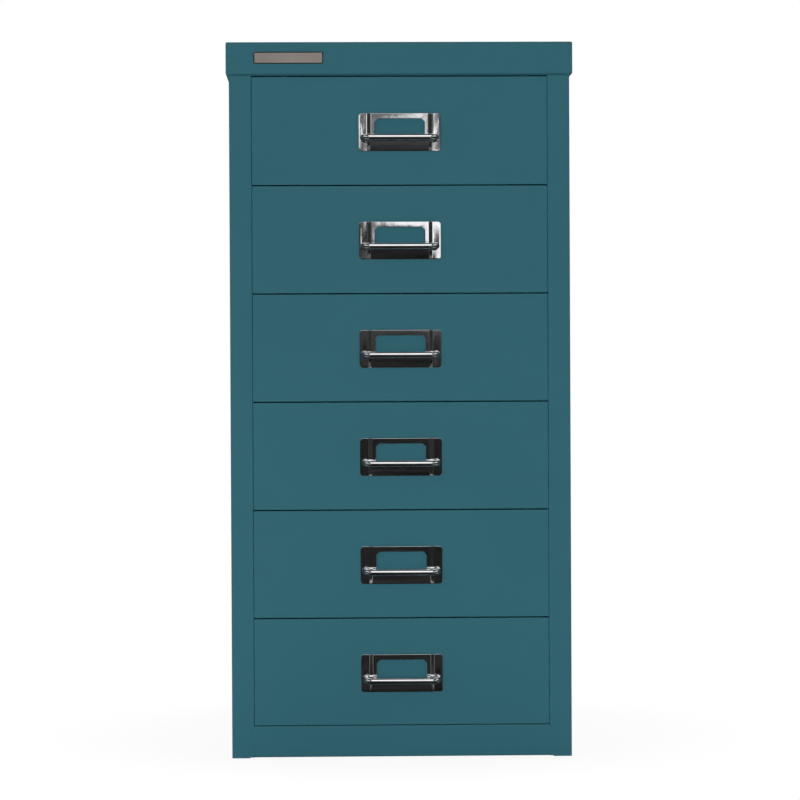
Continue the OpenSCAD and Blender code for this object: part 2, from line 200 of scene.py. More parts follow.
# Finishes, as linear colours
TEAL = (0.0300, 0.1252, 0.1602, 1)
TEAL_DEEP = (0.0288, 0.1208, 0.1542, 1)
TEAL_WORN = (0.075, 0.19, 0.22, 1)
TEAL_RUBBED = (0.10, 0.17, 0.19, 1)
# Painted dark reflection: the colour the paint is given only where the chrome mirrors it
TEAL_PAINTED_REFLECTION = (0.02, 0.024, 0.026, 1)
DUST = (0.38, 0.37, 0.35, 1)
CHROME = (0.86, 0.86, 0.87, 1)
CHROME_HAZE = (0.76, 0.77, 0.79, 1)
NYLON = (0.012, 0.012, 0.013, 1)
NYLON_GREY = (0.02, 0.02, 0.021, 1)
BADGE_GREY = (0.27, 0.235, 0.22, 1)
BADGE_WARM = (0.31, 0.27, 0.25, 1)
BADGE_DARK = (0.02, 0.03, 0.034, 1)

# How much of an effect a finish takes, and how deep its grain is
WORN_SHARE = 0.25
# Share of the painted dark reflection in what the chrome mirrors of the paint
PAINTED_REFLECTION_SHARE = 0.7
RUBBED_SHARE = 0.6
RUBBED_GLOSS = 0.18
HAIRLINE_HAZE = 0.04
BADGE_HAZE = 0.1
PAINT_BUMP = 0.00005
CHROME_BUMP = 0.00003
NYLON_BUMP = 0.00008
BADGE_BUMP = 0.00002


# ---- small helpers for meshes ----

def along_z(u, v, w):
    """A section in X and Y, run along Z"""
    return Vector((u, v, w))


def along_y(u, v, w):
    """A section in X and Z, run along Y"""
    return Vector((u, w, v))


def along_x(u, v, w):
    """A section in Y and Z, run along X"""
    return Vector((w, u, v))


def turn_in(inset, level, radius):
    """A quarter turn of a section, from a level out to an inset. A radius below zero goes down."""
    angles = [math.pi / 2 * k / FOLD_STEPS for k in range(FOLD_STEPS + 1)]
    return [(inset + abs(radius) * (1 - math.sin(a)), level + radius * (1 - math.cos(a))) for a in angles]


def arc(x, z, radius, start, end, steps=12):
    """Points of an arc in X and Z"""
    angles = [start + (end - start) * k / steps for k in range(steps + 1)]
    return [(x + radius * math.cos(a), z + radius * math.sin(a)) for a in angles]


def fold_line(path, bend):
    """Points and side directions along a line whose corners are rounded"""
    points = [Vector(p) for p in path]
    line = []
    for i, corner in enumerate(points):
        before = (corner - points[i - 1]).normalized() if i else None
        after = (points[i + 1] - corner).normalized() if i + 1 < len(points) else None
        heading = before or after
        turn = math.atan2(before.cross(after), before.dot(after)) if before and after else 0
        side = Vector((-heading.y, heading.x))
        if abs(turn) < SAME:
            line.append((corner, side))
            continue
        setback = bend * math.tan(abs(turn) / 2)
        centre = corner - before * setback + side * math.copysign(bend, turn)
        for k in range(FOLD_STEPS + 1):
            turned = Matrix.Rotation(turn * k / FOLD_STEPS, 2) @ side
            line.append((centre - turned * math.copysign(bend, turn), turned))
    return line


def bridge(bm, rings):
    """Walls between rings of equally many points"""
    for a, b in zip(rings, rings[1:]):
        for k in range(len(a)):
            bm.faces.new([a[k], a[(k + 1) % len(a)], b[(k + 1) % len(b)], b[k]])


def add_folded_sheet(bm, path, thickness, inside, stations, place):
    """A folded sheet: its middle line in two directions, run through stations in the third"""
    line = fold_line(path, inside + thickness / 2)
    rings = []
    for w in stations:
        near = [place(*(p + s * thickness / 2), w) for p, s in line]
        far = [place(*(p - s * thickness / 2), w) for p, s in line]
        rings.append([bm.verts.new(c) for c in near + far[::-1]])
    bridge(bm, rings)
    for ring in (rings[0], rings[-1]):
        for k in range(len(line) - 1):
            bm.faces.new([ring[k], ring[k + 1], ring[-2 - k], ring[-1 - k]])


def add_prism(bm, outline, span, place):
    """A closed solid with a flat outline, run from one place to another"""
    rings = [[bm.verts.new(place(u, v, w)) for u, v in dict.fromkeys(outline)] for w in span]
    bridge(bm, rings)
    for ring in rings:
        bm.faces.new(ring)


def add_block(bm, low, high):
    """A closed block between two corners"""
    (x0, y0, z0), (x1, y1, z1) = low, high
    add_prism(bm, [(x0, y0), (x1, y0), (x1, y1), (x0, y1)], (z0, z1), along_z)


def round_ring(bm, low, high, radius, w, place):
    """A closed ring of points round a rectangle with round corners"""
    radius = max(radius, TINY)
    ring = []
    for k, (u, v) in enumerate(((high[0], low[1]), (high[0], high[1]), (low[0], high[1]), (low[0], low[1]))):
        centre_u = u + (radius if u == low[0] else -radius)
        centre_v = v + (radius if v == low[1] else -radius)
        ring += [bm.verts.new(place(*c, w)) for c in arc(
            centre_u, centre_v, radius, math.pi / 2 * (k - 1), math.pi / 2 * k, FOLD_STEPS)]
    return ring


def merge_points(bm):
    """Joins the points that meet, where a corner runs out or two cuts touch"""
    bmesh.ops.remove_doubles(bm, verts=bm.verts, dist=MERGE_REACH)
    bmesh.ops.dissolve_degenerate(bm, edges=bm.edges, dist=MERGE_REACH)


def fill(bm, loops):
    """A flat face inside the first loop and outside the others"""
    edges = []
    for loop in loops:
        loop = [point for point in loop if point.is_valid]
        for pair in zip(loop, loop[1:] + loop[:1]):
            edges.append(bm.edges.get(pair) or bm.edges.new(pair))
    bmesh.ops.triangle_fill(bm, use_beauty=True, use_dissolve=False, edges=edges)


def add_lathe(bm, profile, origin, axis, steps=32):
    """A turned part. Each point of the profile is a radius and a distance along the axis."""
    turn = Vector(axis).to_track_quat("Z", "Y").to_matrix()
    rings = []
    for radius, height in profile:
        angles = [2 * math.pi * k / steps for k in range(steps if radius else 1)]
        circle = [(radius * math.cos(a), radius * math.sin(a)) for a in angles]
        rings.append([bm.verts.new(Vector(origin) + turn @ Vector((*c, height))) for c in circle])
    for a, b in zip(rings, rings[1:]):
        for k in range(steps):
            corners = [a[k % len(a)], a[(k + 1) % len(a)], b[(k + 1) % len(b)], b[k % len(b)]]
            bm.faces.new(list(dict.fromkeys(corners)))


def link(name, data):
    """A new object in the scene, at the origin"""
    made = bpy.data.objects.new(name, data)
    bpy.context.scene.collection.objects.link(made)
    return made


def plain_mesh(thing):
    """What an object's modifiers make, as a mesh of its own"""
    graph = bpy.context.evaluated_depsgraph_get()
    return bpy.data.meshes.new_from_object(
        thing.evaluated_get(graph), preserve_all_data_layers=True, depsgraph=graph)


def as_mesh(name, bm):
    """Turns a bmesh into a mesh with outward faces"""
    bmesh.ops.recalc_face_normals(bm, faces=bm.faces)
    mesh = bpy.data.meshes.new(name)
    bm.to_mesh(mesh)
    bm.free()
    return mesh


def make_piece(name, bm, finish, body, nodes=(), edge=CUT_EDGE, stays_sharp=None, cutter=None):
    """Finishes a mesh: soft edges, cut-outs, even shading, a material and the body that carries it"""
    bmesh.ops.recalc_face_normals(bm, faces=bm.faces)
    softness = bm.edges.layers.float.new("bevel_weight_edge")
    for line in bm.edges:
        middle = (line.verts[0].co + line.verts[1].co) / 2
        if line.calc_face_angle(0) > SHARP_TURN and not (stays_sharp and stays_sharp(middle)):
            line[softness] = 1
    for face in bm.faces:
        face.material_index = 0
    mesh = as_mesh(name, bm)
    mesh.materials.append(finish)
    mesh.shade_smooth()
    piece = link(name, mesh)
    if edge:
        bevel = piece.modifiers.new("soft_edges", "BEVEL")
        bevel.width = edge
        bevel.segments = 3
        bevel.limit_method = "WEIGHT"
        bevel.use_clamp_overlap = False
    if cutter:
        tool = link("cutter", as_mesh("cutter", cutter))
        cut = piece.modifiers.new("cut_out", "BOOLEAN")
        cut.object = tool
        cut.solver = "EXACT"
    shade = piece.modifiers.new("even_shading", "WEIGHTED_NORMAL")
    shade.keep_sharp = True
    made = plain_mesh(piece)
    made.name = name
    piece.modifiers.clear()
    piece.data = made
    if cutter:
        bpy.data.objects.remove(tool)
    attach(piece, body)
    if nodes:
        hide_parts(*nodes)
    return piece


# ---- small helpers for nodes ----

def add_node(tree, kind, inputs=None, **settings):
    """Adds a node. Inputs are values, or the sockets that feed them."""
    made = tree.nodes.new(kind)
    for key, value in settings.items():
        setattr(made, key, value)
    for key, value in (inputs or {}).items():
        if isinstance(value, bpy.types.NodeSocket):
            tree.links.new(value, made.inputs[key])
        else:
            made.inputs[key].default_value = value
    return made


def math_node(tree, operation, *values, clamp=False):
    made = add_node(tree, "ShaderNodeMath", dict(enumerate(values)), operation=operation, use_clamp=clamp)
    return made.outputs[0]


def times(tree, a, b, clamp=False):
    return math_node(tree, "MULTIPLY", a, b, clamp=clamp)


def ramp(tree, value, low, high, to_low=0.0, to_high=1.0, kind="LINEAR"):
    """Maps a value from one range to another, held at both ends"""
    made = add_node(tree, "ShaderNodeMapRange", {
        "Value": value, "From Min": low, "From Max": high, "To Min": to_low, "To Max": to_high},
        interpolation_type=kind)
    return made.outputs[0]


def soft_step(tree, value, low, high, to_low=0.0, to_high=1.0):
    return ramp(tree, value, low, high, to_low, to_high, "SMOOTHSTEP")


def distance(tree):
    """Distance from the middle of the floor, for a piece of the studio"""
    node = add_node(tree, "ShaderNodeVectorMath", {0: object_place(tree)}, operation="LENGTH")
    return node.outputs["Value"]


def mix_colour(tree, factor, a, b):
    return add_node(tree, "ShaderNodeMix", {0: factor, 6: a, 7: b}, data_type="RGBA").outputs[2]


def noise(tree, scale, detail=2.0, roughness=0.5, place=None):
    """Noise over the object's own coordinates, or over a given place"""
    made = add_node(tree, "ShaderNodeTexNoise", {
        "Vector": place or object_place(tree), "Scale": scale, "Detail": detail, "Roughness": roughness})
    return made.outputs["Fac"]


def object_place(tree):
    return tree.nodes.new("ShaderNodeTexCoord").outputs["Object"]


def split(tree, vector):
    return add_node(tree, "ShaderNodeSeparateXYZ", {0: vector}).outputs


def shader_group(name, inputs, outputs):
    """An empty shader node group with its sockets, and its inner input and output nodes"""
    group = bpy.data.node_groups.new(name, "ShaderNodeTree")
    for label, value in inputs.items():
        socket = group.interface.new_socket(label, in_out="INPUT", socket_type="NodeSocketFloat")
        socket.default_value = value
    for label in outputs:
        group.interface.new_socket(label, in_out="OUTPUT", socket_type="NodeSocketFloat")
    return group, group.nodes.new("NodeGroupInput").outputs, group.nodes.new("NodeGroupOutput").inputs


def use_group(tree, group, **values):
    made = add_node(tree, "ShaderNodeGroup", node_tree=group)
    for label, value in values.items():
        made.inputs[label.replace("_", " ")].default_value = value
    return made.outputs


# ---- geometry trees: what follows a path or repeats ----

def geometry_tree(name, sizes):
    """An empty geometry tree with named inputs, and its inner input and output nodes"""
    tree = bpy.data.node_groups.new(name, "GeometryNodeTree")
    tree.interface.new_socket("Start", in_out="INPUT", socket_type="NodeSocketGeometry")
    for label, kind in sizes.items():
        tree.interface.new_socket(label, in_out="INPUT", socket_type=f"NodeSocket{kind}")
    tree.interface.new_socket("Result", in_out="OUTPUT", socket_type="NodeSocketGeometry")
    return tree, tree.nodes.new("NodeGroupInput").outputs, tree.nodes.new("NodeGroupOutput").inputs[0]


def end_tree(tree, shape, finish, out):
    """Every tree ends in real geometry with its material"""
    real = add_node(tree, "GeometryNodeRealizeInstances", {0: shape}).outputs[0]
    painted = add_node(tree, "GeometryNodeSetMaterial", {"Geometry": real, "Material": finish}).outputs[0]
    tree.links.new(painted, out)


def bent_rod_tree():
    """Sweeps a round rod along a line, with a bend at each corner"""
    tree, given, out = geometry_tree("bent_rod", {
        "Rod diameter": "Float", "Bend radius": "Float", "Bend steps": "Int", "Sides": "Int",
        "Finish": "Material"})
    line = add_node(tree, "GeometryNodeMeshToCurve", {0: given["Start"]}).outputs[0]
    bent = add_node(tree, "GeometryNodeFilletCurve", {
        "Curve": line, "Count": given["Bend steps"], "Radius": given["Bend radius"]}, mode="POLY").outputs[0]
    radius = times(tree, given["Rod diameter"], 0.5)
    section = add_node(tree, "GeometryNodeCurvePrimitiveCircle", {
        "Resolution": given["Sides"], "Radius": radius}).outputs[0]
    rod = add_node(tree, "GeometryNodeCurveToMesh", {
        "Curve": bent, "Profile Curve": section, "Fill Caps": True}).outputs[0]
    end_tree(tree, rod, given["Finish"], out)
    return tree


def spot_weld_tree():
    """Sets a shallow round weld mark on every point, facing one way"""
    tree, given, out = geometry_tree("spot_welds", {
        "Mark diameter": "Float", "Mark height": "Float", "Facing": "Vector", "Finish": "Material"})
    radius = times(tree, given["Mark diameter"], 0.5)
    ball = add_node(tree, "GeometryNodeMeshUVSphere", {
        "Segments": 20, "Rings": 8, "Radius": radius}).outputs[0]
    flat = add_node(tree, "ShaderNodeCombineXYZ", {
        0: 1.0, 1: 1.0, 2: math_node(tree, "DIVIDE", given["Mark height"], radius)}).outputs[0]
    turn = add_node(tree, "FunctionNodeAlignRotationToVector", {
        "Vector": given["Facing"]}, axis="Z").outputs[0]
    marks = add_node(tree, "GeometryNodeInstanceOnPoints", {
        "Points": given["Start"], "Instance": ball, "Rotation": turn, "Scale": flat}).outputs[0]
    end_tree(tree, marks, given["Finish"], out)
    return tree


def cross_screw_tree():
    """Hangs a domed screw with a cross recess from every point. It is drawn in millimetres."""
    sizes = {label.replace("_", " "): "Float" for label in SCREW_SIZES}
    tree, given, out = geometry_tree("cross_screws", {**sizes, "Unit": "Float", "Finish": "Material"})

    def moved(shape, z):
        shift = add_node(tree, "ShaderNodeCombineXYZ", {2: z}).outputs[0]
        return add_node(tree, "GeometryNodeTransform", {"Geometry": shape, "Translation": shift}).outputs[0]

    def combine(operation, first, *others):
        made = add_node(tree, "GeometryNodeMeshBoolean", operation=operation, solver="EXACT")
        if operation == "DIFFERENCE":
            tree.links.new(first, made.inputs["Mesh 1"])
        else:
            others = (first,) + others
        for other in others:
            tree.links.new(other, made.inputs["Mesh 2"])
        return made.outputs["Mesh"]

    def half(value):
        return times(tree, value, 0.5)

    radius, height, rise = half(given["Head diameter"]), given["Head height"], given["Dome height"]
    squares = math_node(
        tree, "ADD", math_node(tree, "POWER", radius, 2.0), math_node(tree, "POWER", rise, 2.0))
    dome = math_node(tree, "DIVIDE", squares, times(tree, rise, 2.0))
    ball = add_node(tree, "GeometryNodeMeshUVSphere", {
        "Segments": 48, "Rings": 32, "Radius": dome}).outputs[0]
    drum = add_node(tree, "GeometryNodeMeshCylinder", {
        "Vertices": 48, "Radius": radius, "Depth": height}).outputs[0]
    head = combine("INTERSECT", moved(ball, math_node(tree, "SUBTRACT", dome, height)),
                   moved(drum, half(times(tree, height, -1.0))))
    depth = times(tree, given["Recess depth"], 2.0)
    slots = []
    for order in ((0, 1), (1, 0)):
        size = add_node(tree, "ShaderNodeCombineXYZ", {
            order[0]: radius, order[1]: given["Recess width"], 2: depth}).outputs[0]
        slot = add_node(tree, "GeometryNodeMeshCube", {"Size": size}).outputs[0]
        slots.append(moved(slot, times(tree, height, -1.0)))
    head = combine("DIFFERENCE", head, *slots)
    length, in_head = given["Thread length"], 0.2
    thread = add_node(tree, "GeometryNodeMeshCylinder", {
        "Vertices": 32, "Radius": half(given["Thread diameter"]), "Depth": length}).outputs[0]
    screw = combine("UNION", head, moved(thread, math_node(tree, "SUBTRACT", half(length), in_head)))
    screws = add_node(tree, "GeometryNodeInstanceOnPoints", {
        "Points": given["Start"], "Instance": screw, "Scale": given["Unit"]}).outputs[0]
    end_tree(tree, screws, given["Finish"], out)
    return tree


def grow(tree, points, edges=(), **sizes):
    """The plain mesh that a geometry tree makes from points, with its named inputs set"""
    start = bpy.data.meshes.new("start")
    start.from_pydata(points, edges, [])
    holder = link("start", start)
    step = holder.modifiers.new("grow", "NODES")
    step.node_group = tree
    sockets = {s.name: s.identifier for s in tree.interface.items_tree if s.in_out == "INPUT"}
    for label, value in sizes.items():
        step[sockets[label.replace("_", " ")]] = value
    made = plain_mesh(holder)
    bpy.data.objects.remove(holder)
    return made


BENT_ROD = bent_rod_tree()
SPOT_WELDS = spot_weld_tree()
CROSS_SCREWS = cross_screw_tree()


# ---- shared surface effects ----

def powder_grain_group():
    """Orange peel of a sprayed or moulded skin, and the slow drift of its tone"""
    group, given, out = shader_group(
        "powder_grain", {"Grain size": 0.0012, "Drift size": 0.09}, ["Height", "Drift"])
    grain = noise(group, math_node(group, "DIVIDE", 1.0, given["Grain size"]), 2.0, 0.45)
    drift = noise(group, math_node(group, "DIVIDE", 1.0, given["Drift size"]), 3.0)
    group.links.new(grain, out["Height"])
    group.links.new(ramp(group, drift, 0.3, 0.7), out["Drift"])
    return group


def slide_streaks_group():
    """Fine streaks along Y, as sliding or polishing leaves them"""
    group, given, out = shader_group(
        "slide_streaks", {"Streak width": 0.0004, "Streak length": 0.08, "Cover": 0.5}, ["Mask"])
    parts = split(group, object_place(group))
    across = math_node(group, "DIVIDE", 1.0, given["Streak width"])
    along = math_node(group, "DIVIDE", 1.0, given["Streak length"])
    stretched = add_node(group, "ShaderNodeCombineXYZ", {
        0: times(group, parts[0], across),
        1: times(group, parts[1], along),
        2: times(group, parts[2], across)}).outputs[0]
    streak = noise(group, 1.0, place=stretched)
    level = math_node(group, "SUBTRACT", 0.75, times(group, given["Cover"], 0.5))
    over = math_node(group, "SUBTRACT", streak, level)
    group.links.new(times(group, over, 8.0, clamp=True), out["Mask"])
    return group


def touched_edges_group():
    """Where an outer edge is rubbed: strongest on the edge, broken up along it"""
    group, given, out = shader_group("touched_edges", {"Reach": 0.0008, "Cover": 0.5}, ["Mask"])
    rounded = add_node(group, "ShaderNodeBevel", {"Radius": given["Reach"]}, samples=4).outputs[0]
    flat = group.nodes.new("ShaderNodeNewGeometry").outputs["Normal"]
    alike = add_node(group, "ShaderNodeVectorMath", {0: rounded, 1: flat}, operation="DOT_PRODUCT")
    edge = ramp(group, alike.outputs["Value"], 0.995, 0.86)
    kept = math_node(group, "SUBTRACT", 1.0, given["Cover"])
    over = math_node(group, "SUBTRACT", noise(group, 160.0, 3.0), kept)
    patch = times(group, over, 6.0, clamp=True)
    group.links.new(times(group, edge, patch), out["Mask"])
    return group


def settled_dust_group():
    """Thin dust on what faces up"""
    group, given, out = shader_group("settled_dust", {"Cover": 0.3}, ["Mask"])
    upward = split(group, group.nodes.new("ShaderNodeNewGeometry").outputs["Normal"])[2]
    soft = times(group, ramp(group, upward, 0.6, 0.98), ramp(group, noise(group, 14.0, 5.0), 0.3, 0.8))
    group.links.new(times(group, soft, given["Cover"]), out["Mask"])
    return group


POWDER_GRAIN = powder_grain_group()
SLIDE_STREAKS = slide_streaks_group()
TOUCHED_EDGES = touched_edges_group()
SETTLED_DUST = settled_dust_group()


# ---- materials ----

def new_material(name, **constants):
    """A material with one Principled shader, and the constants set on its own sockets"""
    material = bpy.data.materials.new(name)
    material.use_nodes = True
    tree = material.node_tree
    tree.nodes.clear()
    skin = tree.nodes.new("ShaderNodeBsdfPrincipled")
    output = tree.nodes.new("ShaderNodeOutputMaterial")
    tree.links.new(skin.outputs[0], output.inputs["Surface"])
    for label, value in constants.items():
        skin.inputs[label.replace("_", " ")].default_value = value
    return material, tree, skin.inputs


def dress(tree, skin, colour, roughness, height, depth):
    """Gives a shader its colour, its roughness and the height of its grain"""
    bump = add_node(tree, "ShaderNodeBump", {"Height": height, "Distance": depth, "Strength": 1.0})
    for label, value in (("Base Color", colour), ("Roughness", roughness), ("Normal", bump.outputs[0])):
        tree.links.new(value, skin[label])


def powder_coat(name, slides=False):
    """Satin powder coat. Where the chrome mirrors it, its colour is a painted dark reflection.
    Where parts slide, the outer strips are rubbed to a shine."""
    material, tree, skin = new_material(name, Specular_IOR_Level=0.12, IOR=1.5)
    grain = use_group(tree, POWDER_GRAIN, Grain_size=0.0011, Drift_size=0.11)
    edges = use_group(tree, TOUCHED_EDGES, Reach=0.0007, Cover=0.35)["Mask"]
    dust = use_group(tree, SETTLED_DUST, Cover=0.05)["Mask"]
    colour = mix_colour(tree, grain["Drift"], TEAL_DEEP, TEAL)
    colour = mix_colour(tree, times(tree, edges, WORN_SHARE), colour, TEAL_WORN)
    colour = mix_colour(tree, dust, colour, DUST)
    # Painted dark reflection: in reflections the paint is shown dark grey instead of its own colour
    in_mirror = tree.nodes.new("ShaderNodeLightPath").outputs["Is Glossy Ray"]
    colour = mix_colour(tree, times(tree, in_mirror, PAINTED_REFLECTION_SHARE), colour, TEAL_PAINTED_REFLECTION)
    roughness = ramp(tree, grain["Drift"], 0.0, 1.0, 0.36, 0.41)
    if slides:
        streaks = use_group(tree, SLIDE_STREAKS, Streak_width=0.0006, Streak_length=0.12, Cover=0.6)["Mask"]
        sideways = math_node(tree, "ABSOLUTE", split(tree, object_place(tree))[0])
        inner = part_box("tray_1")[1].x - TRAY_FLANGE
        rubbed = times(tree, streaks, ramp(tree, sideways, inner, inner + DRAWER_SHEET))
        colour = mix_colour(tree, times(tree, rubbed, RUBBED_SHARE), colour, TEAL_RUBBED)
        roughness = math_node(tree, "SUBTRACT", roughness, times(tree, rubbed, RUBBED_GLOSS))
    dress(tree, skin, colour, roughness, grain["Height"], PAINT_BUMP)
    return material


def bright_plate(name):
    """Polished chrome plate, with a little haze and the hairlines of handling"""
    material, tree, skin = new_material(name, Metallic=1.0)
    hairs = use_group(tree, SLIDE_STREAKS, Streak_width=0.00025, Streak_length=0.01, Cover=0.3)["Mask"]
    grain = use_group(tree, POWDER_GRAIN, Grain_size=0.009, Drift_size=0.012)
    colour = mix_colour(tree, grain["Drift"], CHROME_HAZE, CHROME)
    haze = ramp(tree, grain["Drift"], 0.0, 1.0, 0.08, 0.045)
    haze = math_node(tree, "ADD", haze, times(tree, hairs, HAIRLINE_HAZE))
    dress(tree, skin, colour, haze, grain["Height"], CHROME_BUMP)
    return material


def foot_rubber():
    """Dull black nylon"""
    material, tree, skin = new_material("foot_rubber", Specular_IOR_Level=0.4)
    grain = use_group(tree, POWDER_GRAIN, Grain_size=0.0006, Drift_size=0.01)
    dust = use_group(tree, SETTLED_DUST, Cover=0.3)["Mask"]
    colour = mix_colour(tree, dust, mix_colour(tree, grain["Drift"], NYLON, NYLON_GREY), DUST)
    dress(tree, skin, colour, ramp(tree, grain["Drift"], 0.0, 1.0, 0.7, 0.8), grain["Height"], NYLON_BUMP)
    return material


def badge_metal(name, dark, light, low_roughness):
    """Satin metal of the blank nameplate"""
    material, tree, skin = new_material(name, Metallic=0.4)
    hairs = use_group(tree, SLIDE_STREAKS, Streak_width=0.0002, Streak_length=0.02, Cover=0.5)["Mask"]
    grain = use_group(tree, POWDER_GRAIN, Grain_size=0.0008, Drift_size=0.02)
    haze = ramp(tree, hairs, 0.0, 1.0, low_roughness + BADGE_HAZE, low_roughness)
    dress(tree, skin, mix_colour(tree, grain["Drift"], dark, light), haze, grain["Height"], BADGE_BUMP)
    return material


PAINT = powder_coat("powder_coat")
SLIDING_PAINT = powder_coat("powder_coat_rubbed", slides=True)
PLATE = bright_plate("chrome_plate")
RUBBER = foot_rubber()
BADGE_FACE = badge_metal("badge_face", BADGE_GREY, BADGE_WARM, 0.34)
BADGE_RIM = badge_metal("badge_rim", BADGE_DARK, BADGE_DARK, 0.3)


# ---- case ----

def rail_end(inner, low, seam=0.0):
    """Outline of the rail's mitred end, from a given inner edge and lower edge"""
    outer = OPEN_HALF + RAIL_TAB
    return [(inner, low), (outer, low), (outer, MITRE_Z - RAIL_TAB - seam), (OPEN_HALF, MITRE_Z - seam),
            (inner, MITRE_Z - seam)]


def mirrored(points, side):
    return [(side * u, v) for u, v in points]


def side_wall(side):
    """Side wall with its stile, the fold along the opening and the rear return"""
    t = CASE_SHEET / 2
    path = [(OPEN_HALF + t, FACE_Y + STILE_RETURN), (OPEN_HALF + t, FACE_Y + t), (CASE_HALF - t, FACE_Y + t),
            (CASE_HALF - t, REAR_Y - t), (CASE_HALF - REAR_RETURN, REAR_Y - t)]
    bm, notch = bmesh.new(), bmesh.new()
    add_folded_sheet(bm, mirrored(path, side), CASE_SHEET, STILE_FOLD, (CASE_LOW, CASE_TOP), along_z)
    outline = rail_end(OPEN_HALF - CASE_SHEET, CASE_LOW - CASE_SHEET)
    add_prism(notch, mirrored(outline, side), (FACE_Y - CASE_SHEET, FLOOR_Y), along_y)
    return make_piece(f"side_wall_{WORDS[side]}", bm, PAINT, "case", [f"side_panel_{WORDS[side]}"],
                      cutter=notch)


def rear_wall():
    """Flat sheet behind, held by spot welds to the returns of the side walls"""
    bm = bmesh.new()
    add_block(bm, REAR_WALL[0], REAR_WALL[1])
    return make_piece("rear_wall", bm, PAINT, "case", ["back_panel"])


def base():
    """Front rail with its ledge and mitred ends, and the floor between its weld flanges"""
    t = CASE_SHEET / 2
    floor_z = RAIL_LOW + t
    wall = CASE_HALF - CASE_SHEET - t
    bm = bmesh.new()
    rail = [(FACE_Y + RAIL_LEDGE, RAIL_TOP - t), (FACE_Y + t, RAIL_TOP - t), (FACE_Y + t, floor_z),
            (FLOOR_Y, floor_z)]
    add_folded_sheet(bm, rail, CASE_SHEET, CASE_FOLD, (-OPEN_HALF, OPEN_HALF), along_x)
    for side in SIDES:
        outline = mirrored(rail_end(OPEN_HALF, RAIL_LOW, MITRE_SEAM), side)
        add_prism(bm, outline, (FACE_Y, FACE_Y + CASE_SHEET), along_y)
    flange_z = RAIL_LOW + FLOOR_FLANGE
    floor = [(-wall, flange_z), (-wall, floor_z), (wall, floor_z), (wall, flange_z)]
    add_folded_sheet(bm, floor, CASE_SHEET, CASE_FOLD, (FLOOR_Y, REAR_WALL[0].y), along_y)
    return make_piece("base_with_rail", bm, PAINT, "case", ["base_panel"],
                      stays_sharp=lambda p: abs(p.x) > OPEN_HALF - t and p.y < FACE_Y + 2 * CASE_SHEET)


def screw_holes():
    bm = bmesh.new()
    reach = 2 * CASE_SHEET
    profile = [(0, -reach), (SCREW_HOLE_R, -reach), (SCREW_HOLE_R, 2 * reach), (0, 2 * reach)]
    for x in SCREW_XS:
        add_lathe(bm, profile, (x, SCREW_Y, OPEN_TOP), (0, 0, 1))
    return bm


def top_ledge():
    """Ledge over the drawers and the sheet under the lid"""
    t = CASE_SHEET / 2
    sheet_y = FACE_Y + CASE_SHEET + CASE_FOLD
    bm = bmesh.new()
    ledge_z = OPEN_TOP + CASE_SHEET + t
    ledge = [(FACE_Y + LID_FLANGE, ledge_z), (FACE_Y + t, ledge_z), (FACE_Y + t, CASE_TOP + t),
             (sheet_y, CASE_TOP + t)]
    add_folded_sheet(bm, ledge, CASE_SHEET, CASE_FOLD, (-OPEN_HALF, OPEN_HALF), along_x)
    add_block(bm, (-CASE_HALF, sheet_y, CASE_TOP), (CASE_HALF, REAR_Y, CASE_TOP + CASE_SHEET))
    return make_piece("top_ledge", bm, PAINT, "case", ["top_panel"], cutter=screw_holes())


def lid_cap():
    """Cap lid: round upper edges, a chamfer back to the case and the flange under its front"""
    low, high = LID
    over = high.x - CASE_HALF
    lean = CASE_SHEET * (math.sqrt(2) - 1)
    outside = [(over, OPEN_TOP), (0, OPEN_TOP + LID_SKIRT)]
    outside += turn_in(0, high.z, -LID_EDGE)[::-1]
    inside = turn_in(CASE_SHEET, high.z - CASE_SHEET, CASE_SHEET - LID_EDGE)
    inside += [(CASE_SHEET, OPEN_TOP + LID_SKIRT - lean), (over, OPEN_TOP + CASE_SHEET - lean)]
    bm = bmesh.new()
    rings = [round_ring(bm, (low.x + d, low.y + d), (high.x - d, high.y - d), LID_CORNER - d, z, along_z)
             for d, z in outside + inside]
    bridge(bm, rings[:len(outside)])
    bridge(bm, rings[len(outside):])
    bridge(bm, [rings[-1], rings[0]])
    merge_points(bm)
    fill(bm, [rings[len(outside) - 1]])
    fill(bm, [rings[len(outside)]])
    half = OPEN_HALF - LID_PLAY
    add_block(bm, (-half, FACE_Y, OPEN_TOP), (half, FACE_Y + LID_FLANGE, OPEN_TOP + CASE_SHEET))
    return make_piece("lid_cap", bm, PAINT, "case", ["lid"], cutter=screw_holes())


def lid_screws():
    bm = bmesh.new()
    places = [(x, SCREW_Y, OPEN_TOP) for x in SCREW_XS]
    bm.from_mesh(grow(CROSS_SCREWS, places, **SCREW_SIZES, Unit=MM, Finish=PAINT))
    merge_points(bm)
    return make_piece("lid_screw_pair", bm, PAINT, "case", ["lid_screws"], edge=0)


def spot_welds(name, body, points):
    """Weld marks that face the rear"""
    bm = bmesh.new()
    bm.from_mesh(grow(
        SPOT_WELDS, points, Mark_diameter=WELD_D, Mark_height=WELD_H, Facing=(0, 1, 0), Finish=PAINT))
    return make_piece(name, bm, PAINT, body, edge=0)


def rear_spot_welds():
    x = CASE_HALF - REAR_RETURN / 2
    low_z = CASE_LOW + REAR_WELD_IN_END
    pitch = (CASE_TOP - REAR_WELD_IN_END - low_z) / (REAR_WELDS - 1)
    return spot_welds("rear_spot_welds", "case", [
        (side * x, REAR_Y, low_z + k * pitch) for side in SIDES for k in range(REAR_WELDS)])


